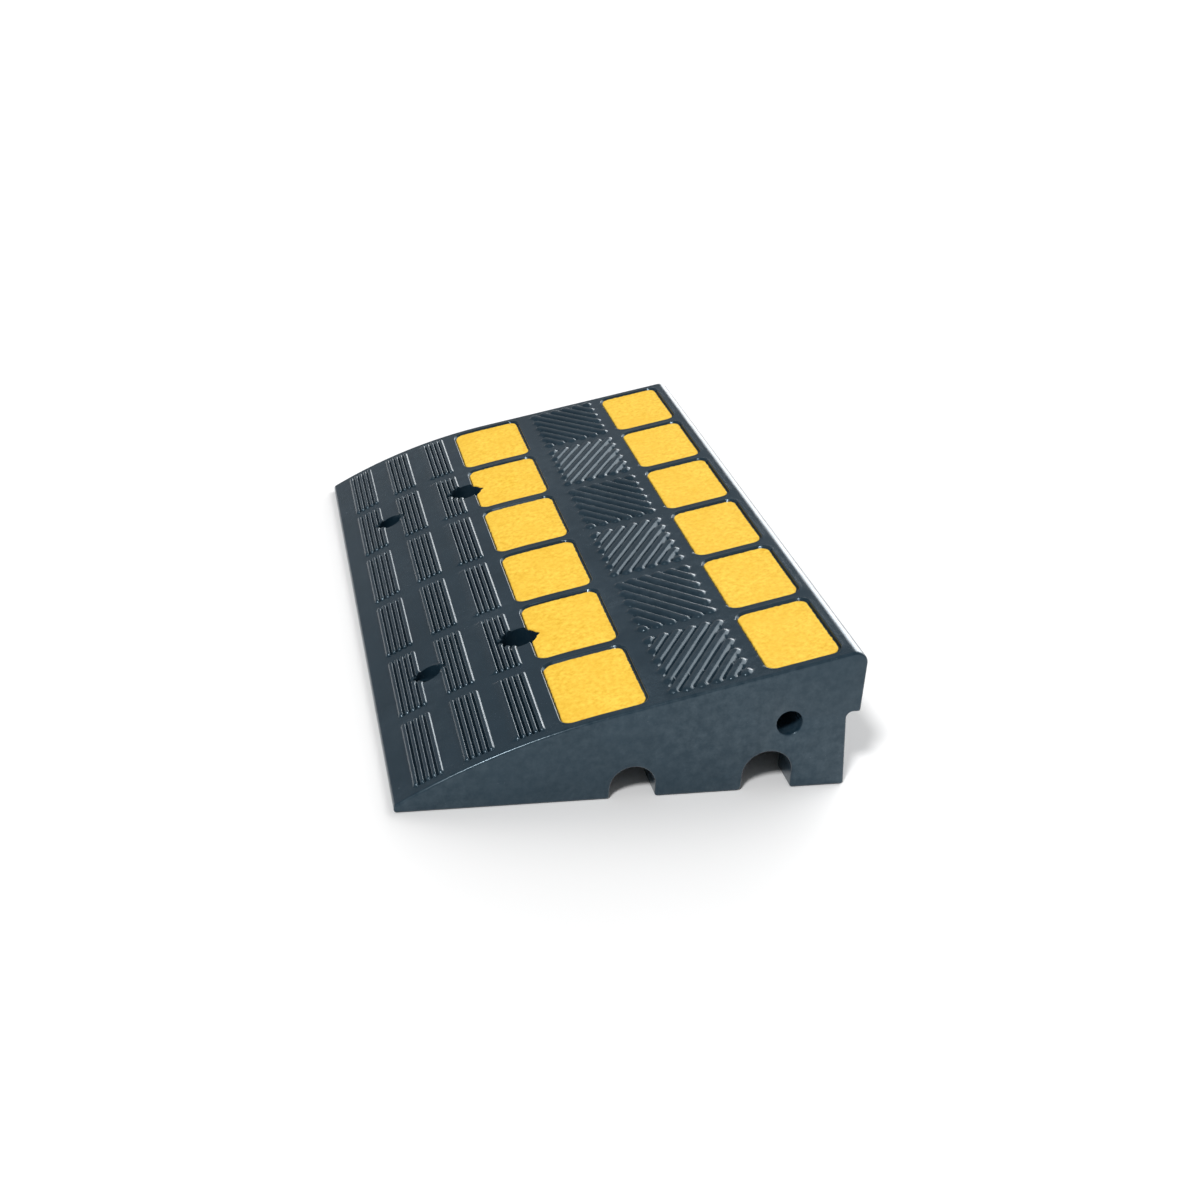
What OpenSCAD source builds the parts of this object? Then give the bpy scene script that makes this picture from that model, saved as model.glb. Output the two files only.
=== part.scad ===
// Rubber kerb ramp: one moulded wedge with twelve yellow reflective tiles set into its tread.
// Millimetres. X runs from the toe (-) to the heel (+), Y along the ramp, Z up from the ground.
// The origin is on the ground, at the middle of the ramp.

/* [Ramp body] */
// Length along the kerb
ramp_l = 600; // [600:5:640]
// Depth from toe to heel
ramp_w = 350; // [345:1:360]
// Height at the heel
ramp_h = 115; // [113:1:118]
// Height of the blunt toe edge
nose_h = 6; // [4:0.5:7]
// Slope of the tread where it leaves the toe, in degrees
toe_angle = 32; // [30:0.5:33]
// Slope of the straight upper part of the tread, in degrees
top_angle = 13.5; // [13:0.5:14]
// Radius over the heel's top edge
heel_r = 10; // [6:1:14]

/* [Heel lip] */
// How far the lip stands out over the kerb
lip_out = 10.5; // [7:0.5:12]
// How far the wall under the lip slants out on its way down
heel_flare = 5.5; // [0:0.5:6]
// Height of the lip's underside
lip_z = 64; // [58:1:68]
// Fillet under the lip
lip_fillet = 5; // [3:1:6]

/* [Underside channels] */
// Distance from the toe to the middle of the drain channel
drain_x = 177.5; // [174:0.5:182]
// Half the drain channel's width, and the radius of its roof
drain_r = 17.5; // [14:0.5:20]
// Height of the drain channel
drain_h = 26.5; // [22:0.5:30]
// Distance from the toe to the middle of the cable channel
cable_x = 282; // [279:0.5:283]
// Half the cable channel's width, and the radius of its roof
cable_r = 19.5; // [16:0.5:20]
// Height of the cable channel
cable_h = 33; // [28:0.5:34]
// Radius at the cable channel's foot, on the toe side
cable_foot_r = 4; // [2:0.5:6]
// Thickness of the end wall that closes the heel block's hollow
end_wall = 30; // [24:1:40]
// Width of the hollow beside the cable channel
hollow_w = 14; // [8:1:16]
// Height of the hollow
hollow_h = 26; // [20:1:28]

/* [Connector bores] */
// Diameter of the bore in each end face
link_d = 20; // [16:0.5:22]
// Distance from the toe to the bore
link_x = 294.5; // [291:0.5:298]
// Height of the bore
link_z = 57.5; // [54:0.5:60]
// Depth of the bore
link_depth = 80; // [40:5:120]

/* [Anchor holes] */
// Distance from the ramp's middle to each pair of anchor holes
anchor_y = 150; // [148:1:152]
// Distance from the toe to the row of small counterbores
anchor_toe_x = 43; // [42:1:45]
// Distance from the toe to the row of large counterbores
anchor_mid_x = 115; // [114:1:117]
// Diameter of the small counterbore
anchor_toe_d = 20; // [18:1:22]
// Diameter of the large counterbore
anchor_mid_d = 28; // [24:1:30]
// How far the counterbore's two points reach past its wall
point_out = 3; // [1:0.5:3.5]
// Half the width of the slot that ends in the two points
point_w = 6; // [4:0.5:8]
// Height of the bolt seat above the ground
seat_z = 20; // [16:1:21]
// Diameter of the bolt hole
bolt_d = 14; // [11:0.5:16]

/* [Tiles] */
// Distance from one row of tiles and ribs to the next
row_pitch = 99; // [98:0.5:100]
// Distance from the toe to the toe column of tiles
toe_tile_x = 123.5; // [122:0.5:126]
// Width of a tile in the toe column
toe_tile_w = 62.5; // [58:0.5:64]
// Distance from the toe to the heel column of tiles
heel_tile_x = 276; // [274:0.5:278]
// Width of a tile in the heel column
heel_tile_w = 55.5; // [50:0.5:57]
// Length of every tile
tile_l = 87.5; // [80:0.5:90]
// Thickness of a tile
tile_t = 1.2; // [0.8:0.1:2]
// Depth of the recess that holds a tile
recess_d = 2.4; // [2.2:0.1:3]
// Gap between a tile and its recess wall
tile_gap = 1.2; // [0.6:0.1:1.8]
// Corner radius of a tile
tile_r = 8; // [4:0.5:12]

/* [Ribs] */
// Distance from the toe to the first group of straight ribs
rib_x = 26; // [24:0.5:27]
// Distance from one group of straight ribs to the next
rib_group_pitch = 36.75; // [36:0.25:37]
// Distance between two straight ribs
rib_pitch = 4.4; // [4.2:0.1:4.6]
// Length of a straight rib
rib_l = 87; // [70:1:90]
// Radius of a straight rib
rib_r = 2; // [1.6:0.1:2.1]
// How far a straight rib stands out of the tread
rib_out = 1.4; // [1:0.1:1.5]
// Distance from the toe to the middle of the diagonal ribs
diag_x = 233; // [231:1:235]
// Width of the field of diagonal ribs
diag_w = 61; // [54:1:64]
// Angle of the diagonal ribs to the X axis
diag_angle = 55; // [50:1:60]
// Distance between two diagonal ribs
diag_pitch = 9; // [8.8:0.1:10]
// Radius of a diagonal rib
diag_r = 4.2; // [3.6:0.1:4.4]
// How far a diagonal rib stands out of the tread
diag_out = 1.8; // [1.2:0.1:2]

/* [Hidden] */
rows = 6;
rib_groups = 3;
ribs_in_group = 5;
diag_side = 5;
crown_steps = 14;
tile_steps = 8;
arc_fn = 64;
over = 5;

// The tread leaves the toe on an arc of crown_r, and runs straight from crown_x to the heel's radius.
edge_x = ramp_w - heel_r * (1 + sin(top_angle));
edge_z = ramp_h - heel_r * (1 - cos(top_angle));
crown_r = (edge_z - nose_h - edge_x * tan(top_angle))
    / (cos(top_angle) - cos(toe_angle) - (sin(toe_angle) - sin(top_angle)) * tan(top_angle));
crown_x = crown_r * (sin(toe_angle) - sin(top_angle));
crown_z = nose_h + crown_r * (cos(top_angle) - cos(toe_angle));

toe_tile_names = [for (i = [1:rows]) str("toe_tile_", i)];
heel_tile_names = [for (i = [1:rows]) str("heel_tile_", i)];

// Slope and height of the tread at a distance x from the toe
function tread_angle(x) = x < crown_x ? asin(sin(toe_angle) - x / crown_r) : top_angle;
function tread_z(x) = x < crown_x
    ? nose_h + crown_r * (cos(tread_angle(x)) - cos(toe_angle))
    : crown_z + (x - crown_x) * tan(top_angle);

// The point at a depth below the tread, measured square to it
function below_tread(x, depth) =
    [x + depth * sin(tread_angle(x)), tread_z(x) - depth * cos(tread_angle(x))];

// Middle of a row, counted from 1 at the near end
function row_y(row) = (row - (rows + 1) / 2) * row_pitch;

// Stands a side outline (distance from the toe, height) up along the ramp's length
module along(length) {
    translate([-ramp_w / 2, length / 2, 0])
        rotate([90, 0, 0])
            linear_extrude(height = length)
                children();
}

// A channel's cross-section, open at the ground
module arch(x, r, h) {
    translate([x, h - r])
        circle(r = r, $fn = arc_fn);
    translate([x - r, -over])
        square([2 * r, h - r + over]);
}

// The wedge's outline, from the toe over the tread and the heel lip to the ground
module wedge_outline() {
    polygon(concat(
        [[0, 0]],
        [for (i = [0:crown_steps]) [i * crown_x / crown_steps, tread_z(i * crown_x / crown_steps)]],
        [for (a = [top_angle:-(90 + top_angle) / 9:-90.01])
            [ramp_w - heel_r - heel_r * sin(a), ramp_h - heel_r + heel_r * cos(a)]],
        [[ramp_w, lip_z]],
        [for (a = [90:15:180])
            [ramp_w - lip_out + lip_fillet * (1 + cos(a)), lip_z - lip_fillet * (1 - sin(a))]],
        [[ramp_w - lip_out + heel_flare, 0]]
    ));
}

// The rounded foot on the cable channel's toe side
module cable_foot() {
    difference() {
        translate([cable_x - cable_r - cable_foot_r, -over])
            square([cable_foot_r + 1, cable_foot_r + over]);
        translate([cable_x - cable_r - cable_foot_r, cable_foot_r])
            circle(r = cable_foot_r, $fn = arc_fn);
    }
}

module body_outline() {
    difference() {
        wedge_outline();
        arch(drain_x, drain_r, drain_h);
        arch(cable_x, cable_r, cable_h);
        cable_foot();
    }
}

// A rib with round ends, lying along Y
module rib(length, r) {
    rotate([90, 0, 0])
        rotate_extrude($fn = 24)
            intersection() {
                union() {
                    translate([0, length / 2 - r])
                        circle(r = r, $fn = 24);
                    translate([0, r - length / 2])
                        circle(r = r, $fn = 24);
                    translate([-r, r - length / 2])
                        square([2 * r, length - 2 * r]);
                }
                translate([0, -length / 2])
                    square([r, length]);
            }
}

// Five straight ribs, sunk so that rib_out stands proud
module straight_ribs() {
    for (group = [0:rib_groups - 1], i = [0:ribs_in_group - 1], row = [1:rows]) {
        x = rib_x + group * rib_group_pitch + (i - (ribs_in_group - 1) / 2) * rib_pitch;
        p = below_tread(x, rib_r - rib_out);
        translate([p[0] - ramp_w / 2, row_y(row), p[1]])
            rib(rib_l, rib_r);
    }
}

// Ends of diagonal rib k in a field w by l, as distances along the rib from the field's middle
function diag_low(k, w, l) = max(
    (-w / 2 + k * diag_pitch * sin(diag_angle)) / cos(diag_angle),
    (-l / 2 - k * diag_pitch * cos(diag_angle)) / sin(diag_angle));
function diag_high(k, w, l) = min(
    (w / 2 + k * diag_pitch * sin(diag_angle)) / cos(diag_angle),
    (l / 2 - k * diag_pitch * cos(diag_angle)) / sin(diag_angle));

// One field of diagonal ribs in the plane Z = 0, sunk so that diag_out stands proud
module diagonal_field() {
    inset = 2 * diag_r - diag_out;
    w = diag_w / cos(top_angle) - inset;
    l = tile_l - inset;
    for (k = [-diag_side:diag_side]) {
        a = diag_low(k, w, l);
        b = diag_high(k, w, l);
        if (b > a)
            rotate([0, 0, diag_angle])
                translate([(a + b) / 2, k * diag_pitch, diag_out - diag_r])
                    rotate([0, 0, 90])
                        rib(b - a + 2 * diag_r, diag_r);
    }
}

// The fields lean one way and then the other from row to row
module diagonal_ribs() {
    for (row = [1:rows])
        translate([diag_x - ramp_w / 2, row_y(row), tread_z(diag_x)])
            rotate([0, -top_angle, 0])
                mirror([0, row % 2 == 0 ? 1 : 0, 0])
                    diagonal_field();
}

// A rounded upright block over one place in the tile grid, grown by a gap
module tile_block(x, w, row, gap) {
    r = tile_r + gap;
    translate([x - gap - ramp_w / 2, row_y(row) - tile_l / 2 - gap, 0])
        linear_extrude(height = ramp_h + over)
            union() {
                translate([r, 0])
                    square([w + 2 * gap - 2 * r, tile_l + 2 * gap]);
                translate([0, r])
                    square([w + 2 * gap, tile_l + 2 * gap - 2 * r]);
                for (cx = [r, w + 2 * gap - r], cy = [r, tile_l + 2 * gap - r])
                    translate([cx, cy])
                        circle(r = r, $fn = arc_fn);
            }
}

// A strip that follows the tread between two depths, under the whole of a tile and its gap
module tread_strip(x, w, top, bottom) {
    step = (w + 4 * tile_gap) / tile_steps;
    stations = [for (i = [0:tile_steps]) x - 2 * tile_gap + i * step];
    last = tile_steps;
    along(ramp_l)
        polygon(concat(
            [for (s = stations) below_tread(s, top)],
            [for (i = [0:last]) below_tread(stations[last - i], bottom)]
        ));
}

module tile_recess(x, w, row) {
    intersection() {
        tread_strip(x, w, -over, recess_d);
        tile_block(x, w, row, tile_gap);
    }
}

// A counterbore with two points on the X axis, and its bolt hole
module anchor(x, d) {
    tip = d / 2 + point_out;
    flat = tip - point_w;
    translate([x - ramp_w / 2, 0, seat_z]) {
        cylinder(d = d, h = ramp_h, $fn = arc_fn);
        linear_extrude(height = ramp_h)
            polygon([[-tip, 0], [-flat, point_w], [flat, point_w],
                [tip, 0], [flat, -point_w], [-flat, -point_w]]);
    }
    translate([x - ramp_w / 2, 0, -over])
        cylinder(d = bolt_d, h = seat_z + 2 * over, $fn = arc_fn);
}

module anchors() {
    for (side = [-1, 1])
        translate([0, side * anchor_y, 0]) {
            anchor(anchor_toe_x, anchor_toe_d);
            anchor(anchor_mid_x, anchor_mid_d);
        }
}

// The blind bores that take the link to the next ramp
module link_bores() {
    for (side = [-1, 1])
        translate([link_x - ramp_w / 2, side * (ramp_l / 2 + over), link_z])
            rotate([side * 90, 0, 0])
                cylinder(d = link_d, h = link_depth + over, $fn = arc_fn);
}

// The hollow in the heel block, open to the cable channel and to the ground
module heel_hollow() {
    hollow_l = ramp_l - 2 * end_wall;
    translate([cable_x - ramp_w / 2, -hollow_l / 2, -over])
        cube([cable_r + hollow_w, hollow_l, hollow_h + over]);
}

module ramp_body() {
    color([0.2, 0.24, 0.27])
        difference() {
            union() {
                along(ramp_l)
                    body_outline();
                straight_ribs();
                diagonal_ribs();
            }
            for (row = [1:rows]) {
                tile_recess(toe_tile_x, toe_tile_w, row);
                tile_recess(heel_tile_x, heel_tile_w, row);
            }
            anchors();
            link_bores();
            heel_hollow();
        }
}

module tile(x, w, row) {
    color([1, 0.78, 0.26])
        difference() {
            intersection() {
                tread_strip(x, w, recess_d - tile_t, recess_d);
                tile_block(x, w, row, 0);
            }
            anchors();
        }
}

ramp_body();
for (row = [1:rows]) {
    tile(toe_tile_x, toe_tile_w, row);
    tile(heel_tile_x, heel_tile_w, row);
}
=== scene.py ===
"""Looks for a rubber kerb ramp: a finely moulded body, twelve reflective tiles, materials and a studio.

Shapes are worked out in millimetres: x is measured from the toe, y from the ramp's middle and z from
the ground.
"""
import math

import bpy
import numpy as np
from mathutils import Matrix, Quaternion, Vector
from mathutils.geometry import delaunay_2d_cdt


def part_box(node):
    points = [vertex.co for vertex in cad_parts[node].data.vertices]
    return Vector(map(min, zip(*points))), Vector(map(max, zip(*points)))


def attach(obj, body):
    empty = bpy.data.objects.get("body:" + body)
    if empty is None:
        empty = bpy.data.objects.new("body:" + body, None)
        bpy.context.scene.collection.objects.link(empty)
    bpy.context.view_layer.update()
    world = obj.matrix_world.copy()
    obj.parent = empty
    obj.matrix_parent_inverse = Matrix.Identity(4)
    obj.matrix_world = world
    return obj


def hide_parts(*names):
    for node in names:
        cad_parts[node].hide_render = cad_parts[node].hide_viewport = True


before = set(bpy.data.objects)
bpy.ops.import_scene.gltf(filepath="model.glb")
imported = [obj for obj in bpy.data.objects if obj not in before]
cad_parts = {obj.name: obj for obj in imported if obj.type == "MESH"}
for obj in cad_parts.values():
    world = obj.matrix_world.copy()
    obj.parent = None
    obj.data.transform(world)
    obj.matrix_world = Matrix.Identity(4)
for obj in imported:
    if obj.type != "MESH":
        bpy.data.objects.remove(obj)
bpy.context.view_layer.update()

# ---------------------------------------------------------------- sizes, in millimetres
M = 1000.0
HAIR = 0.01   # a slack for comparing places
LOW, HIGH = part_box("ramp_body")
LENGTH = (HIGH.y - LOW.y) * M
WIDTH = (HIGH.x - LOW.x) * M
HEIGHT = (HIGH.z - LOW.z) * M
ROWS = 6
ROW_PITCH = 99.0

NOSE_H = 6.0
TOE_ANGLE = math.radians(32)
TOP_ANGLE = math.radians(13.5)
HEEL_R = 10.0
LIP_OUT, LIP_Z, LIP_FILLET, HEEL_FLARE = 10.5, 64.0, 5.0, 5.5
DRAIN_X, DRAIN_R, DRAIN_H = 177.5, 17.5, 26.5
CABLE_X, CABLE_R, CABLE_H = 282.0, 19.5, 33.0
CABLE_FOOT_R = 4.0
END_WALL, HOLLOW_W, HOLLOW_H = 30.0, 14.0, 26.0
LINK_X, LINK_Z, LINK_R, LINK_DEPTH = 294.5, 57.5, 10.0, 80.0

ANCHORS = {43.0: 10.0, 115.0: 14.0}  # distance from the toe: counterbore radius
ANCHOR_Y = 150.0
ANCHOR_ROWS = (2, 5)
POINT_OUT, POINT_W = 3.0, 6.0
SEAT_Z, BOLT_R = 20.0, 7.0

# Tiles and their beds. A bed's top edge has a low soft rim around it.
RECESS_D, TILE_T, TILE_GAP, TILE_R = 2.4, 1.2, 1.2, 8.0
BED_SOFT = 0.5
RIM_OUT, RIM_H, RIM_W = 1.2, 0.2, 0.7
TILE_POINTS = 320
TILE_TRIM = 0.45           # how far a tile's edge stays inside its CAD outline
TILE_RAGGED = 0.32
TILE_EDGE = ((0.0, 0.35), (0.12, 0.1), (0.45, 0.0))   # the rounded edge: inset, depth under the top
TILE_INSETS = (1.5, 3, 6, 10, 15, 20, 25)
UNDER_INSETS = (6, 15, 25)
TILE_WAVES = ((0.12, 11, 13), (0.06, 5, 6))   # unevenness of the top: height, length in x, length in y
WAVES_FULL = 3             # inset at which the unevenness has its full height
TILE_REACH = 80.0          # longer than half a tile's diagonal

# Straight ribs: the middles of their groups, and sizes. A half width is from a bar's middle to its side.
RIB_GROUPS = (26.0, 62.75, 99.5)
RIBS_IN_GROUP = 5
RIB_PITCH, RIB_L = 4.4, 87.0
RIB_HALF, RIB_OUT = 2.15, 1.8
GROOVE_HALF, GROOVE_D = 0.95, 1.5

# Diagonal ribs: DIAG_SIDE of them on each side of the one through the field's middle.
DIAG_X, DIAG_W, DIAG_L = 233.0, 61.0, 87.5
DIAG_ANGLE, DIAG_PITCH, DIAG_SIDE = math.radians(55), 9.0, 5
DIAG_HALF, DIAG_OUT = 4.1, 1.9
DIAG_GROOVE_HALF, DIAG_GROOVE_D = 1.4, 1.7
DIAG_INSET = 3.0           # how far inside the field the bars' round ends have their centres

# Fullness of a bar's section: 0.5 makes it half round, and 1 makes it a parabola.
RIB_SECTION, DIAG_SECTION, GROOVE_SECTION = 0.6, 0.5, 1.0

CORNER_R = 2.0             # small rounding along the body's corners
END_R = 2.0                # rounding around both end faces
NOSE_R = 3.0

# Spacing of the body's lines along x, and along y.
PLAIN_STEP, RIB_STEP, BAR_STEP, WALL_STEP, BED_STEP = 3.0, 0.44, 0.9, 0.5, 1.0
LONG_STEP, RIB_END_STEP = 1.25, 0.6

RELIEF_FADE = (0.5, 2.5)   # the relief grows from nothing to full between these distances from an end
BORE_POINTS = 48
BORE_MOUTH = ((1.0, 0.0), (0.3, 0.3), (0.0, 1.0))   # the bore's rounded mouth: wider by, depth
HOLE_CLEAR = 0.15          # least distance from an anchor hole to the whole squares around it
LOOP_EVENNESS, BOLT_EVENNESS = 0.1, 0.7   # how evenly points are spread around the two parts of a hole

# The tread: an arc from the toe to CROWN_X, then a straight slope to the heel's radius.
EDGE_X = WIDTH - HEEL_R * (1 + math.sin(TOP_ANGLE))
EDGE_Z = HEIGHT - HEEL_R * (1 - math.cos(TOP_ANGLE))
CROWN_R = (EDGE_Z - NOSE_H - EDGE_X * math.tan(TOP_ANGLE)) / (
    math.cos(TOP_ANGLE) - math.cos(TOE_ANGLE)
    - (math.sin(TOE_ANGLE) - math.sin(TOP_ANGLE)) * math.tan(TOP_ANGLE))
CROWN_X = CROWN_R * (math.sin(TOE_ANGLE) - math.sin(TOP_ANGLE))


def tread_angle(x):
    sine = np.sin(TOE_ANGLE) - np.asarray(x, float) / CROWN_R
    return np.arcsin(np.clip(sine, math.sin(TOP_ANGLE), 1.0))


def tread_z(x):
    crown = NOSE_H + CROWN_R * (np.cos(tread_angle(x)) - math.cos(TOE_ANGLE))
    return crown + np.maximum(np.asarray(x, float) - CROWN_X, 0) * math.tan(TOP_ANGLE)


def row_y(row):
    """Middle of a row, counted from 1 at the near end."""
    return (row - (ROWS + 1) / 2) * ROW_PITCH


def smoothstep(low, high, value):
    t = np.clip((value - low) / (high - low), 0, 1)
    return t * t * (3 - 2 * t)


# ---------------------------------------------------------------- plan shapes as signed distances
def rounded_box(x, y, half_x, half_y, radius):
    """Signed distance to a rounded rectangle about the origin, negative inside."""
    dx = np.abs(x) - half_x + radius
    dy = np.abs(y) - half_y + radius
    outside = np.hypot(np.maximum(dx, 0), np.maximum(dy, 0))
    return outside + np.minimum(np.maximum(dx, dy), 0) - radius


def anchor_shape(x, y, radius):
    """Roughly the signed distance to a round counterbore that has a point on each side along x."""
    tip = radius + POINT_OUT
    slot = np.maximum(np.abs(y) - POINT_W, (np.abs(x) + np.abs(y) - tip) / math.sqrt(2))
    return np.minimum(np.hypot(x, y) - radius, slot)


def ray_outline(distance, angles, reach):
    """Radii at which rays from the origin leave a star-shaped plan shape, by bisection."""
    inner = np.zeros_like(angles)
    outer = np.full_like(angles, reach)
    for _ in range(40):
        middle = (inner + outer) / 2
        inside = distance(middle * np.cos(angles), middle * np.sin(angles)) < 0
        inner = np.where(inside, middle, inner)
        outer = np.where(inside, outer, middle)
    return inner


def capsule(across, along, half_length, half_width):
    """Distance from a round-ended bar's middle line, as a share of its half width."""
    past = np.maximum(np.abs(along) - (half_length - half_width), 0)
    return np.hypot(across, past) / half_width


def dome(share, power):
    return np.clip(1 - share * share, 0, 1) ** power


# ---------------------------------------------------------------- the tread's relief
def straight_ribs(x, v):
    """Five half-round ribs in each group, with grooves sunk between them."""
    height = np.zeros(np.broadcast(x, v).shape)
    middle = (RIBS_IN_GROUP - 1) / 2
    for group in RIB_GROUPS:
        for i in range(RIBS_IN_GROUP):
            rib = capsule(x - group - (i - middle) * RIB_PITCH, v, RIB_L / 2, RIB_HALF)
            height += RIB_OUT * dome(rib, RIB_SECTION)
        for i in range(RIBS_IN_GROUP - 1):
            across = x - group - (i + 0.5 - middle) * RIB_PITCH
            groove = capsule(across, v, RIB_L / 2, GROOVE_HALF)
            height -= GROOVE_D * dome(groove, GROOVE_SECTION)
    return height


def diagonal_bar(offset, inset):
    """Ends of a diagonal bar, as distances along it from the field's middle."""
    half_w = DIAG_W / 2 - inset
    half_l = DIAG_L / 2 - inset
    sine, cosine = math.sin(DIAG_ANGLE), math.cos(DIAG_ANGLE)
    low = max((-half_w + offset * sine) / cosine, (-half_l - offset * cosine) / sine)
    high = min((half_w + offset * sine) / cosine, (half_l - offset * cosine) / sine)
    return low, high


def diagonal_ribs(x, v, mirrored):
    """A field of half-round diagonal ribs, with grooves sunk between them."""
    height = np.zeros(np.broadcast(x, v).shape)
    u = x - DIAG_X
    w = np.where(mirrored, -v, v)
    along = u * math.cos(DIAG_ANGLE) + w * math.sin(DIAG_ANGLE)
    across = w * math.cos(DIAG_ANGLE) - u * math.sin(DIAG_ANGLE)
    for k in range(-2 * DIAG_SIDE, 2 * DIAG_SIDE + 1):
        offset = k / 2 * DIAG_PITCH
        low, high = diagonal_bar(offset, DIAG_INSET)
        if high <= low:
            continue
        is_rib = k % 2 == 0
        half = DIAG_HALF if is_rib else DIAG_GROOVE_HALF
        bar = capsule(across - offset, along - (low + high) / 2, (high - low) / 2 + half, half)
        if is_rib:
            height += DIAG_OUT * dome(bar, DIAG_SECTION)
        else:
            height -= DIAG_GROOVE_D * dome(bar, GROOVE_SECTION)
    return height


def tile_plan(column):
    """The x of a column's middle, and half its tiles' width and length, taken from the CAD tiles."""
    low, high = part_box(column + "_tile_1")
    middle = ((low.x + high.x) / 2 - LOW.x) * M
    return middle, (high.x - low.x) / 2 * M, (high.y - low.y) / 2 * M


COLUMNS = {column: tile_plan(column) for column in ("toe", "heel")}


def recesses(x, v):
    """The sunk beds of the tiles, with a soft rim along their top edges."""
    height = np.zeros(np.broadcast(x, v).shape)
    for middle, half_x, half_y in COLUMNS.values():
        sd = rounded_box(x - middle, v, half_x + TILE_GAP, half_y + TILE_GAP, TILE_R + TILE_GAP)
        height -= RECESS_D * (1 - smoothstep(-BED_SOFT, BED_SOFT, sd))
        height += RIM_H * np.exp(-(((sd - RIM_OUT) / RIM_W) ** 2))
    return height


def relief(x, y):
    """How far the tread stands out of its plain curve."""
    row = np.clip(np.floor(y / ROW_PITCH + ROWS / 2), 0, ROWS - 1)
    v = y - (row - (ROWS - 1) / 2) * ROW_PITCH
    mirrored = row % 2 == 1
    return straight_ribs(x, v) + diagonal_ribs(x, v, mirrored) + recesses(x, v)


# ---------------------------------------------------------------- the body's cross-section
def marched(start, end, step_at):
    """Points from start to end, each a local step after the one before."""
    points = [start]
    while points[-1] < end:
        points.append(points[-1] + step_at(points[-1]))
    points = np.array(points)
    return start + (points - start) * (end - start) / (points[-1] - start)


def tread_step(x):
    """Spacing of the tread's lines along x: fine where the relief is fine."""
    step = PLAIN_STEP
    if any(abs(x - group) < RIBS_IN_GROUP / 2 * RIB_PITCH + 1 for group in RIB_GROUPS):
        step = RIB_STEP
    if abs(x - DIAG_X) < DIAG_W / 2 + 1.5:
        step = BAR_STEP
    for middle, radius in ANCHORS.items():
        if abs(x - middle) < radius + POINT_OUT + 2:
            step = min(step, BAR_STEP)
    for middle, half_x, _ in COLUMNS.values():
        from_wall = abs(x - middle) - half_x - TILE_GAP
        if abs(from_wall) < 2:
            step = min(step, WALL_STEP)
        elif -TILE_R - 2 < from_wall < 0:
            step = min(step, BED_STEP)
    return step


def row_step(y):
    """Spacing of the body's lines along y."""
    v = abs((y + ROWS * ROW_PITCH / 2) % ROW_PITCH - ROW_PITCH / 2)
    return RIB_END_STEP if abs(v - RIB_L / 2 - 0.5) < 2.5 else LONG_STEP


class Outline:
    """The closed cross-section: points, outward normals, and each point's tread distance or NaN."""

    def __init__(self):
        self.rows = []

    def add(self, x, z, nx, nz, on_tread=False):
        self.rows.append((x, z, nx, nz, x if on_tread else math.nan))

    def arc(self, cx, cz, radius, start, end, steps, hollow=False):
        """An arc between two angles in degrees. The rubber is outside a hollow arc."""
        side = -1 if hollow else 1
        for a in np.radians(np.linspace(start, end, steps + 1)):
            nx, nz = math.cos(a), math.sin(a)
            self.add(cx + radius * nx, cz + radius * nz, side * nx, side * nz)

    def array(self):
        return np.array(self.rows)


def channel(outline, x, radius, height, foot_r):
    """A channel, from its heel-side foot over its roof to its toe-side foot, rounded by foot_r."""
    outline.arc(x + radius + CORNER_R, CORNER_R, CORNER_R, 270, 180, 3)
    outline.arc(x, height - radius, radius, 0, 180, 24, hollow=True)
    outline.arc(x - radius - foot_r, foot_r, foot_r, 0, -90, 4)


def body_outline():
    """The cross-section, from the toe's lower corner over the tread and back along the ground."""
    o = Outline()
    o.arc(CORNER_R, CORNER_R, CORNER_R, 270, 180, 4)
    tangent = NOSE_R / math.tan(math.radians(45) + TOE_ANGLE / 2)
    o.arc(NOSE_R, NOSE_H - tangent, NOSE_R, 180, 90 + math.degrees(TOE_ANGLE), 5)
    for x in marched(tangent * math.cos(TOE_ANGLE) + 1, EDGE_X, tread_step)[:-1]:
        a = float(tread_angle(x))
        o.add(x, float(tread_z(x)), -math.sin(a), math.cos(a), on_tread=True)
    o.arc(WIDTH - HEEL_R, HEIGHT - HEEL_R, HEEL_R, 90 + math.degrees(TOP_ANGLE), 0, 14)
    o.arc(WIDTH - CORNER_R, LIP_Z + CORNER_R, CORNER_R, 0, -90, 4)
    wall = WIDTH - LIP_OUT
    o.arc(wall + LIP_FILLET, LIP_Z - LIP_FILLET, LIP_FILLET, 90, 180, 8, hollow=True)
    slant = math.atan2(HEEL_FLARE, LIP_Z - LIP_FILLET)
    foot = wall + HEEL_FLARE - CORNER_R * (1 + math.sin(slant)) / math.cos(slant)
    o.arc(foot, CORNER_R, CORNER_R, math.degrees(slant), -90, 4)
    channel(o, CABLE_X, CABLE_R, CABLE_H, CABLE_FOOT_R)
    channel(o, DRAIN_X, DRAIN_R, DRAIN_H, CORNER_R)
    return o.array()


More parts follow.
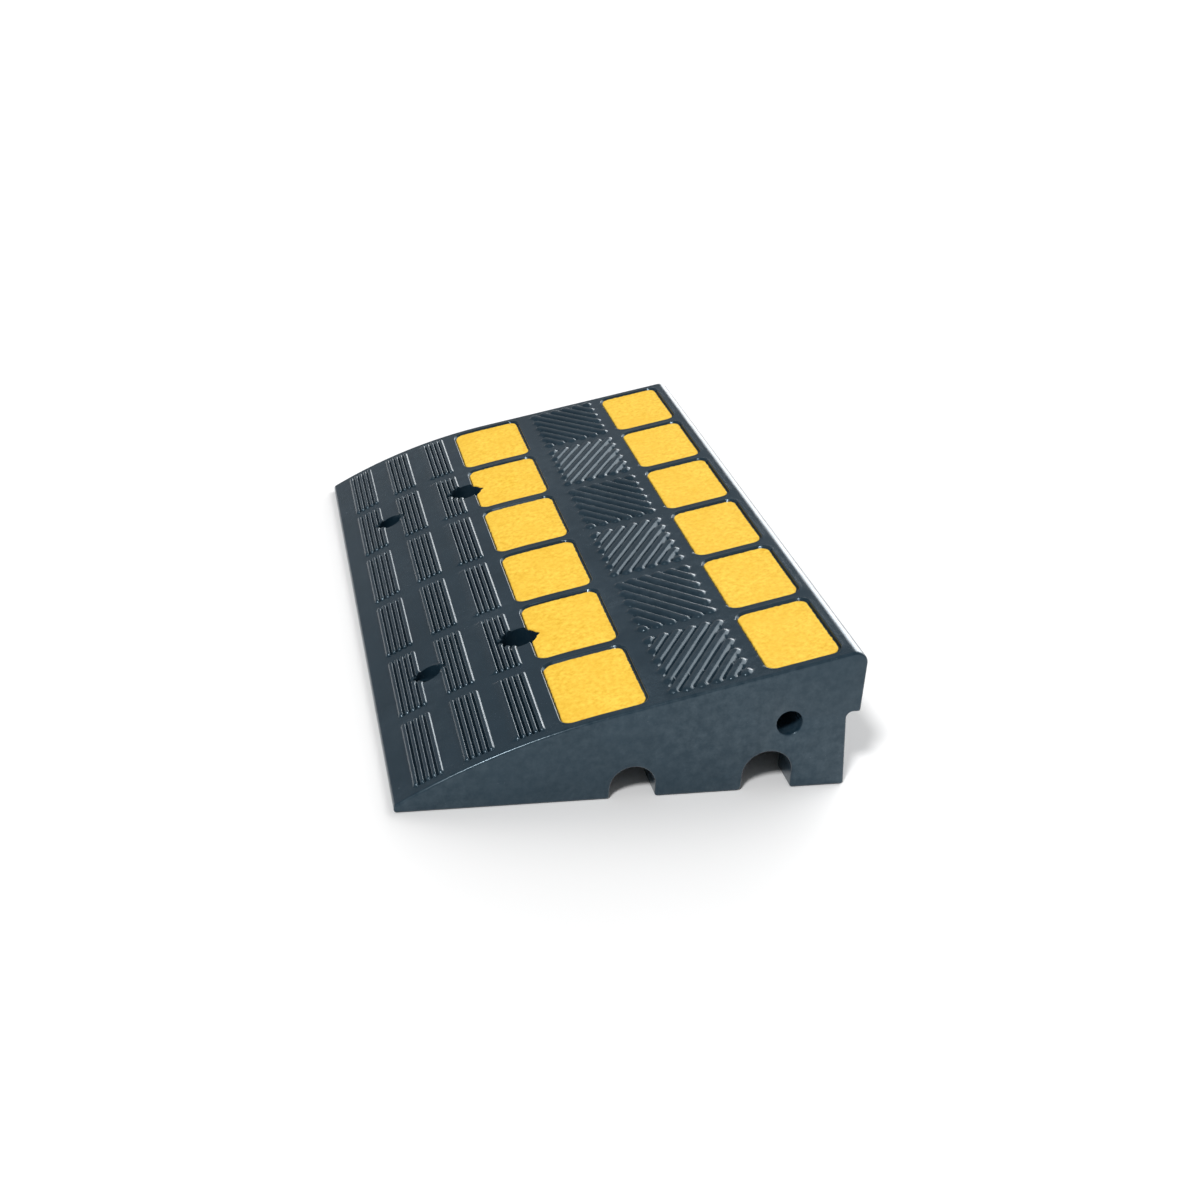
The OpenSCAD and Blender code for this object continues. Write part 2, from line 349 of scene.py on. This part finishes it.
def hollowed(outline):
    """The same cross-section where the heel block's hollow opens beside the cable channel."""
    out = outline.copy()
    x, z = outline[:, 0], outline[:, 1]
    wall_x = CABLE_X + CABLE_R
    beside = np.isnan(outline[:, 4]) & (z < HOLLOW_H)
    beside &= (x > CABLE_X) & (x < wall_x + CORNER_R + HAIR)
    roof = beside & (z > CABLE_H - CABLE_R + HAIR)
    foot = beside & ~roof
    out[foot, 0] += HOLLOW_W
    top = foot & (z > CORNER_R + HAIR)
    out[top, 1] = HOLLOW_H
    start = x[roof].min()
    share = (wall_x - x[roof]) / (wall_x - start)
    out[roof, 0] = wall_x + HOLLOW_W - share * (wall_x + HOLLOW_W - start)
    out[roof, 1] = HOLLOW_H
    out[roof, 2:4] = (0, -1)
    return out


def line_order(line):
    """Sorts lines along y, and puts a closed line outside the open one in the same place."""
    y, _, is_open = line
    return round(y, 6), is_open if y < 0 else not is_open


def length_lines():
    """The body's lines along y: (y, inset at the rounded ends, whether the hollow is open)."""
    end = LENGTH / 2
    flat = marched(-(end - END_R), end - END_R, row_step)
    lines = [(y, 0.0, abs(y) < end - END_WALL) for y in flat]
    for side in (-1, 1):
        at = side * (end - END_WALL)
        lines += [(at, 0.0, False), (at, 0.0, True)]
        for a in np.radians(np.linspace(90, 0, 5)[:-1]):
            y = side * (end - END_R + END_R * math.sin(a))
            lines.append((y, END_R * (1 - math.cos(a)), False))
    return sorted(lines, key=line_order)


# ---------------------------------------------------------------- meshes
class MeshBuilder:
    """Collects points in millimetres and faces, then makes one Blender mesh in metres."""

    def __init__(self):
        self.points, self.count = [], 0
        self.faces, self.flat = [], []

    def add_points(self, points):
        first = self.count
        points = np.asarray(points, float).reshape(-1, 3)
        self.points.append(points)
        self.count += len(points)
        return np.arange(first, self.count)

    def add_faces(self, faces, flat=False):
        faces = [tuple(int(i) for i in f) for f in faces]
        self.faces += faces
        self.flat += [flat] * len(faces)

    def strip(self, a, b, flat=False):
        """Quads between two closed rings of equal length."""
        c, d = np.roll(a, -1), np.roll(b, -1)
        self.add_faces(np.stack([a, c, d, b], 1), flat)

    def fan(self, ring, centre, flat=False):
        """Triangles from a closed ring to one point inside it."""
        self.add_faces([(a, b, centre) for a, b in zip(ring, np.roll(ring, -1))], flat)

    def filled(self, outer, holes, plane, flip):
        """Triangles over a flat face with holes. plane picks the two axes that the face lies in."""
        loops = [list(outer)] + [list(h) for h in holes]
        ids = [i for loop in loops for i in loop]
        points = np.concatenate(self.points)[ids][:, plane]
        edges, start = [], 0
        for loop in loops:
            n = len(loop)
            edges += [(start + k, start + (k + 1) % n) for k in range(n)]
            start += n
        made = delaunay_2d_cdt([Vector(p) for p in points], edges, [], 1, 1e-7)
        source = [ids[origin[0]] if origin else None for origin in made[3]]
        centres = [hole_centre(points, loops, k) for k in range(1, len(loops))]
        faces = []
        for face in made[2]:
            middle = sum((made[0][i] for i in face), Vector((0, 0))) / len(face)
            if any((middle - c).length < r for c, r in centres):
                continue
            corners = [source[i] for i in face]
            faces.append(corners[::-1] if flip else corners)
        self.add_faces(faces, flat=True)

    def object(self, name, material):
        points = np.concatenate(self.points)
        points[:, 0] -= WIDTH / 2
        used = np.unique(np.array([i for f in self.faces for i in f]))
        where = np.full(len(points), -1)
        where[used] = np.arange(len(used))
        faces = [tuple(where[i] for i in f) for f in self.faces]
        mesh = bpy.data.meshes.new(name)
        mesh.from_pydata((points[used] / M).tolist(), [], [tuple(map(int, f)) for f in faces])
        mesh.polygons.foreach_set("use_smooth", [not f for f in self.flat])
        mesh.materials.append(material)
        mesh.validate()
        mesh.update()
        mesh.set_sharp_from_angle(angle=math.radians(50))
        obj = bpy.data.objects.new(name, mesh)
        bpy.context.scene.collection.objects.link(obj)
        return obj


def hole_centre(points, loops, k):
    """Middle of the round hole whose points are loop k, and a little less than its radius."""
    start = sum(len(loop) for loop in loops[:k])
    ring = points[start:start + len(loops[k])]
    middle = Vector(ring.mean(0))
    return middle, min((Vector(p) - middle).length for p in ring) * 0.999


def loop_order(edges):
    """Puts boundary edges (from, to) in order as one closed loop."""
    after = dict(edges)
    start = next(iter(after))
    loop = [start]
    while after[loop[-1]] != start:
        loop.append(after[loop[-1]])
    return loop


def steady_turn(angles, evenness):
    """The same angles around a closed loop, never turning back, and drawn towards even spacing."""
    turned = np.unwrap(angles)
    way = np.sign(turned[-1] - turned[0])
    turned = way * np.sort(way * turned)
    even = turned[0] + way * np.arange(len(turned)) * 2 * math.pi / len(turned)
    return turned + evenness * (even - turned)


def cut_anchor(grid, x_line, y_line, keep, points, centre, radius):
    """Opens an anchor hole in the tread's grid. Returns the loop around it, and the loop's angles."""
    x = x_line[:, None] - centre[0]
    y = y_line[None, :] - centre[1]
    inside = anchor_shape(x, y, radius) < HOLE_CLEAR
    dead = inside[:-1, :-1] | inside[1:, :-1] | inside[1:, 1:] | inside[:-1, 1:]
    keep &= ~dead
    edges = []
    for i, j in zip(*np.nonzero(dead)):
        if keep[i, j - 1]:
            edges.append((grid[i + 1, j], grid[i, j]))
        if keep[i, j + 1]:
            edges.append((grid[i, j + 1], grid[i + 1, j + 1]))
        if keep[i - 1, j]:
            edges.append((grid[i, j], grid[i, j + 1]))
        if keep[i + 1, j]:
            edges.append((grid[i + 1, j + 1], grid[i + 1, j]))
    loop = loop_order(edges)
    plan = points[loop][:, :2] - centre
    angles = steady_turn(np.arctan2(plan[:, 1], plan[:, 0]), LOOP_EVENNESS)
    radii = ray_outline(lambda a, b: anchor_shape(a, b, radius), angles, 3 * radius)
    points[loop, 0] = centre[0] + radii * np.cos(angles)
    points[loop, 1] = centre[1] + radii * np.sin(angles)
    return loop, angles


def cut_anchors(outline, y_line, grid, keep, points):
    """Opens the four anchor holes in the tread. Returns the centre, loop and angles of each."""
    tread = np.nonzero(~np.isnan(outline[:, 4]))[0]
    rows = slice(tread[0], tread[-1] + 1)
    keep_tread = keep[tread[0]:tread[-1]]
    holes = []
    for x, radius in ANCHORS.items():
        for centre in ((x, -ANCHOR_Y), (x, ANCHOR_Y)):
            cut = cut_anchor(grid[rows], outline[rows, 0], y_line, keep_tread, points, centre, radius)
            holes.append((centre, *cut))
    return holes


def anchor_bore(builder, points, centre, loop, angles):
    """An anchor hole's walls: the counterbore, its seat and the bolt hole. Returns the lowest ring."""
    plan = points[loop][:, :2]
    turn = steady_turn(angles, BOLT_EVENNESS)
    circle = np.stack([centre[0] + BOLT_R * np.cos(turn), centre[1] + BOLT_R * np.sin(turn)], 1)
    rings = [np.array(loop)]
    for place, z in ((plan, SEAT_Z), (circle, SEAT_Z), (circle, 0)):
        rings.append(builder.add_points(np.column_stack([place, np.full(len(place), z)])))
    for a, b in zip(rings, rings[1:]):
        builder.strip(a, b)
    return rings[-1]


def link_bore(builder, side):
    """A blind bore in one end face, with a rounded mouth. Returns the ring that lies in the face."""
    turn = np.linspace(0, 2 * math.pi, BORE_POINTS, endpoint=False)
    steps = [(LINK_R + wider, depth) for wider, depth in BORE_MOUTH]
    steps.append((LINK_R, LINK_DEPTH))
    rings = []
    for radius, depth in steps:
        x = LINK_X + radius * np.cos(turn)
        y = np.full(BORE_POINTS, side * (LENGTH / 2 - depth))
        z = LINK_Z + radius * np.sin(turn)
        rings.append(builder.add_points(np.column_stack([x, y, z])))
    centre = builder.add_points([(LINK_X, side * (LENGTH / 2 - LINK_DEPTH), LINK_Z)])[0]
    for a, b in zip(rings, rings[1:]):
        builder.strip(*((b, a) if side > 0 else (a, b)))
    floor = rings[-1]
    builder.fan(floor[::-1] if side > 0 else floor, centre, flat=True)
    return rings[0]


def skin_points(outline, lines):
    """Points of the swept skin: every outline point on every line along y."""
    shapes = {False: outline, True: hollowed(outline)}
    y = np.array([line[0] for line in lines])
    on_tread = ~np.isnan(outline[:, 4])
    rise = np.zeros((len(outline), len(lines)))
    rise[on_tread] = relief(outline[on_tread, 4][:, None], y[None, :])
    rise[on_tread] *= smoothstep(*RELIEF_FADE, LENGTH / 2 - np.abs(y))[None, :]
    rise -= np.array([line[1] for line in lines])[None, :]
    points = np.zeros((len(outline), len(lines), 3))
    for j, (place, _, is_open) in enumerate(lines):
        shape = shapes[is_open]
        points[:, j, 0] = shape[:, 0] + shape[:, 2] * rise[:, j]
        points[:, j, 1] = place
        points[:, j, 2] = shape[:, 1] + shape[:, 3] * rise[:, j]
    return points.reshape(-1, 3)


def make_body(material):
    """The moulded body: one closed skin swept along y, with end faces, bores and anchor holes."""
    outline = body_outline()
    lines = length_lines()
    y = np.array([line[0] for line in lines])
    points = skin_points(outline, lines)
    grid = np.arange(len(points)).reshape(len(outline), len(lines))
    keep = np.ones((len(outline), len(lines) - 1), bool)
    holes = cut_anchors(outline, y, grid, keep, points)

    # The skin, without its strip along the ground between the rounded ends.
    builder = MeshBuilder()
    builder.add_points(points)
    flat = np.nonzero(np.abs(y) <= LENGTH / 2 - END_R + 1e-6)[0]
    first, last = flat[0], flat[-1]
    keep[-1, first:last] = False
    after = np.roll(grid, -1, 0)
    quads = np.stack([grid[:, :-1], after[:, :-1], after[:, 1:], grid[:, 1:]], -1)
    builder.add_faces(quads[keep])

    ground_rings = [anchor_bore(builder, points, *hole) for hole in holes]
    sole = list(grid[-1, first:last + 1]) + list(grid[0, first:last + 1])[::-1]
    builder.filled(sole, ground_rings, [0, 1], flip=True)
    for side, ring in ((-1, grid[:, 0]), (1, grid[:, -1])):
        mouth = link_bore(builder, side)
        builder.filled(ring, [mouth], [0, 2], flip=side > 0)
    return builder.object("moulded_body", material)


def ragged(count, size, seed):
    """A smooth random wobble around a closed outline."""
    rng = np.random.default_rng(seed)
    turn = np.linspace(0, 2 * math.pi, count, endpoint=False)
    waves = [rng.uniform(0.4, 1.0) * np.cos(n * turn + rng.uniform(0, 7)) for n in range(14, 70, 3)]
    return size * sum(waves) / math.sqrt(len(waves))


def unevenness(x, y, phase):
    """How far a tile's top stands out of its plain curve."""
    height = 0.0
    for k, (size, wave_x, wave_y) in enumerate(TILE_WAVES):
        height = height + size * np.sin(x / wave_x + phase[2 * k]) * np.sin(y / wave_y + phase[2 * k + 1])
    return height


def tile_shape(x, y, column, row):
    """Signed distance to a tile's outline about its middle, notched where an anchor hole cuts it."""
    middle, half_x, half_y = COLUMNS[column]
    sd = rounded_box(x, y, half_x, half_y, TILE_R)
    if column == "toe" and row in ANCHOR_ROWS:
        anchor_y = math.copysign(ANCHOR_Y, row_y(row)) - row_y(row)
        for centre_x, radius in ANCHORS.items():
            sd = np.maximum(sd, -anchor_shape(x + middle - centre_x, y - anchor_y, radius))
    return sd


def make_tile(name, column, row, material, seed):
    """A tile: a thin, slightly uneven sheet on its bed, with ragged edges."""
    middle = COLUMNS[column][0]
    angles = np.linspace(0, 2 * math.pi, TILE_POINTS, endpoint=False)
    radii = ray_outline(lambda x, y: tile_shape(x, y, column, row), angles, TILE_REACH)
    radii = radii - TILE_TRIM + ragged(TILE_POINTS, TILE_RAGGED, seed)
    phase = np.random.default_rng(seed + 100).uniform(0, 7, 4)
    builder = MeshBuilder()

    def ring(inset, depth):
        r = np.maximum(radii - inset, 0)
        x, y = middle + r * np.cos(angles), r * np.sin(angles)
        share = min(inset, WAVES_FULL) / WAVES_FULL * (depth < RECESS_D)
        z = tread_z(x) - (depth - unevenness(x, y, phase) * share) / np.cos(tread_angle(x))
        return builder.add_points(np.column_stack([x, y + row_y(row), z]))

    def centre(depth):
        z = float(tread_z(middle)) - depth / math.cos(float(tread_angle(middle)))
        return builder.add_points([(middle, row_y(row), z)])[0]

    top = RECESS_D - TILE_T
    rings = [ring(0.0, RECESS_D)]
    rings += [ring(inset, top + under) for inset, under in TILE_EDGE]
    rings += [ring(inset, top) for inset in TILE_INSETS]
    for a, b in zip(rings, rings[1:]):
        builder.strip(a, b)
    builder.fan(rings[-1], centre(top))
    under = [rings[0]] + [ring(inset, RECESS_D) for inset in UNDER_INSETS]
    for a, b in zip(under, under[1:]):
        builder.strip(b, a)
    builder.fan(under[-1][::-1], centre(RECESS_D))
    return builder.object(name, material)


# ---------------------------------------------------------------- materials
def new_material(name):
    material = bpy.data.materials.new(name)
    material.use_nodes = True
    tree = material.node_tree
    return material, tree, tree.nodes["Principled BSDF"]


def noise(tree, coords, scale, detail=4.0, roughness=0.55):
    """Cloudy noise from 0 to 1. A larger scale is finer."""
    node = tree.nodes.new("ShaderNodeTexNoise")
    node.inputs["Scale"].default_value = scale
    node.inputs["Detail"].default_value = detail
    node.inputs["Roughness"].default_value = roughness
    tree.links.new(coords, node.inputs["Vector"])
    return node.outputs["Fac"]


def ramp(tree, value, stops):
    """A value turned into a colour that changes evenly between stops: (value, colour)."""
    node = tree.nodes.new("ShaderNodeValToRGB")
    elements = node.color_ramp.elements
    while len(elements) < len(stops):
        elements.new(0.5)
    for element, (place, colour) in zip(elements, stops):
        element.position = place
        element.color = (*colour, 1)
    tree.links.new(value, node.inputs["Fac"])
    return node.outputs["Color"]


def mix(tree, factor, a, b, blend="MIX"):
    """Colour a with colour b over it, by a factor that is a number or a mask."""
    node = tree.nodes.new("ShaderNodeMix")
    node.data_type = "RGBA"
    node.blend_type = blend
    for name, value in (("Factor", factor), ("A", a), ("B", b)):
        socket = node.inputs[name]
        if isinstance(value, bpy.types.NodeSocket):
            tree.links.new(value, socket)
        else:
            socket.default_value = value if isinstance(value, float) else (*value, 1)
    return node.outputs["Result"]


def bump(tree, height, strength, distance, normal=None):
    """Raises a surface by a height from 0 to 1, times distance in metres, on top of another normal."""
    node = tree.nodes.new("ShaderNodeBump")
    node.inputs["Strength"].default_value = strength
    node.inputs["Distance"].default_value = distance
    tree.links.new(height, node.inputs["Height"])
    if normal is not None:
        tree.links.new(normal, node.inputs["Normal"])
    return node.outputs["Normal"]


def grey(value):
    return (value, value, value)


def lightened_end_faces(tree, coords):
    """A mask of the two end faces, which get the full dust colour: partly dust, partly painted light that
    makes the end faces lighter, as light falls on them.
    """
    axes = tree.nodes.new("ShaderNodeSeparateXYZ")
    tree.links.new(coords, axes.inputs["Vector"])
    size = tree.nodes.new("ShaderNodeMath")
    size.operation = "ABSOLUTE"
    tree.links.new(axes.outputs["Y"], size.inputs[0])
    end = LENGTH / 2 / M
    band = ((end - END_R / M, grey(0)), (end - 0.25 * END_R / M, grey(1)))
    return ramp(tree, size.outputs["Value"], band)


def rubber_material():
    """Dark slate rubber: cloudy colour, dusty patches and specks, end faces painted lighter with the dust
    colour as painted light on top of dust, and a fine moulded grain.
    """
    material, tree, shader = new_material("slate_rubber")
    coords = tree.nodes.new("ShaderNodeTexCoord").outputs["Object"]
    dark_slate, slate = (0.005, 0.018, 0.030), (0.010, 0.026, 0.041)
    # The dust colour paints the dust patches and also the lighter end faces, which is painted light.
    dust_and_painted_light_colour, speck_colour = (0.060, 0.085, 0.105), (0.30, 0.34, 0.37)
    cool_tint = (0.70, 0.88, 1.0, 1)

    colour = ramp(tree, noise(tree, coords, 22, 5), [(0.3, dark_slate), (0.72, slate)])
    dust = ramp(tree, noise(tree, coords, 130, 6, 0.65), [(0.38, grey(0.02)), (0.72, grey(0.34))])
    where = ramp(tree, noise(tree, coords, 9, 3), [(0.40, grey(0.10)), (0.66, grey(1))])
    # The end faces get the full dust colour: painted light that lightens them, on top of real dust.
    where = mix(tree, 1.0, where, lightened_end_faces(tree, coords), "ADD")
    colour = mix(tree, mix(tree, 1.0, dust, where, "MULTIPLY"), colour, dust_and_painted_light_colour)
    specks = ramp(tree, noise(tree, coords, 900, 2, 0.5), [(0.70, grey(0)), (0.78, grey(1))])
    strewn = ramp(tree, noise(tree, coords, 30, 3), [(0.45, grey(0)), (0.72, grey(0.8))])
    colour = mix(tree, mix(tree, 1.0, specks, strewn, "MULTIPLY"), colour, speck_colour)
    tree.links.new(colour, shader.inputs["Base Color"])

    rough = ramp(tree, noise(tree, coords, 40, 4), [(0.3, grey(0.17)), (0.7, grey(0.27))])
    tree.links.new(rough, shader.inputs["Roughness"])
    shader.inputs["Specular IOR Level"].default_value = 0.6
    shader.inputs["Specular Tint"].default_value = cool_tint
    grain = bump(tree, noise(tree, coords, 1100, 3), 0.30, 0.0002)
    waves = bump(tree, noise(tree, coords, 60, 3), 0.35, 0.0005, grain)
    tree.links.new(waves, shader.inputs["Normal"])
    return material


def tile_material():
    """Yellow reflective film: fine bead grain with faint orange mottling."""
    material, tree, shader = new_material("yellow_reflective_film")
    coords = tree.nodes.new("ShaderNodeTexCoord").outputs["Object"]
    orange, yellow, amber = (0.84, 0.46, 0.028), (1.0, 0.68, 0.085), (0.90, 0.53, 0.045)
    mottle = noise(tree, coords, 260, 6, 0.7)
    colour = ramp(tree, mottle, [(0.35, orange), (0.62, yellow)])
    cloud = ramp(tree, noise(tree, coords, 30, 3), [(0.4, grey(0)), (0.7, grey(0.5))])
    colour = mix(tree, cloud, colour, amber)
    tree.links.new(colour, shader.inputs["Base Color"])
    rough = ramp(tree, noise(tree, coords, 500, 3), [(0.3, grey(0.5)), (0.7, grey(0.7))])
    tree.links.new(rough, shader.inputs["Roughness"])
    shader.inputs["Specular IOR Level"].default_value = 0.2
    beads = bump(tree, noise(tree, coords, 1500, 2), 0.4, 0.0003)
    tree.links.new(beads, shader.inputs["Normal"])
    return material


def floor_material():
    """A nearly white, matt floor."""
    material, tree, shader = new_material("pale_floor")
    coords = tree.nodes.new("ShaderNodeTexCoord").outputs["Object"]
    colour = ramp(tree, noise(tree, coords, 3, 2), [(0.3, grey(0.90)), (0.7, grey(0.92))])
    tree.links.new(colour, shader.inputs["Base Color"])
    shader.inputs["Roughness"].default_value = 0.9
    return material


# ---------------------------------------------------------------- studio
def make_floor():
    """The floor under the ramp, which belongs to the studio and not to the object."""
    bpy.ops.mesh.primitive_plane_add(size=60, location=(0, 0, LOW.z))
    floor = bpy.context.object
    floor.name = "studio_floor"
    floor.data.materials.append(floor_material())


def sun(name, towards, width, strength):
    """A soft light of a given angular width, far away in the direction towards."""
    light = bpy.data.lights.new(name, "SUN")
    light.angle = math.radians(width)
    light.energy = strength
    obj = bpy.data.objects.new(name, light)
    obj.rotation_euler = (-Vector(towards)).to_track_quat("-Z", "Y").to_euler()
    obj.location = Vector(towards) * 3
    bpy.context.scene.collection.objects.link(obj)


def make_camera():
    """The photograph's view: from beyond the near end, looking down along the ramp, slightly rolled."""
    place = Vector((-0.2834, -1.2900, 0.6723))
    forward = Vector((0.2195, 0.8690, -0.4436))
    roll = math.radians(4.2)
    camera = bpy.data.cameras.new("camera")
    camera.sensor_width = 36
    camera.lens = 49.05
    obj = bpy.data.objects.new("camera", camera)
    obj.location = place
    obj.rotation_mode = "QUATERNION"
    obj.rotation_quaternion = forward.to_track_quat("-Z", "Y") @ Quaternion((0, 0, 1), roll)
    bpy.context.scene.collection.objects.link(obj)
    bpy.context.scene.camera = obj


def make_studio():
    """The floor, an even white surrounding light and three soft suns."""
    make_floor()
    world = bpy.data.worlds.new("studio")
    world.use_nodes = True
    world.node_tree.nodes["Background"].inputs["Color"].default_value = (1, 1, 1, 1)
    world.node_tree.nodes["Background"].inputs["Strength"].default_value = 0.32
    bpy.context.scene.world = world
    sun("heel_side_key", (0.75, 0.50, 0.43), 60, 2.4)
    sun("back_right_rim", (0.48, 0.86, 0.20), 28, 0.75)
    sun("near_left_spark", (-0.39, -0.49, 0.77), 9, 2.1)
    bpy.context.scene.view_settings.view_transform = "Standard"


def main():
    make_camera()
    make_studio()
    rubber = rubber_material()
    film = tile_material()
    body = make_body(rubber)
    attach(body, "root")
    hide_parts("ramp_body")
    for number, column in enumerate(COLUMNS):
        for row in range(1, ROWS + 1):
            node = f"{column}_tile_{row}"
            tile = make_tile(f"{column}_film_{row}", column, row, film, seed=20 * number + row)
            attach(tile, "root")
            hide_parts(node)


main()
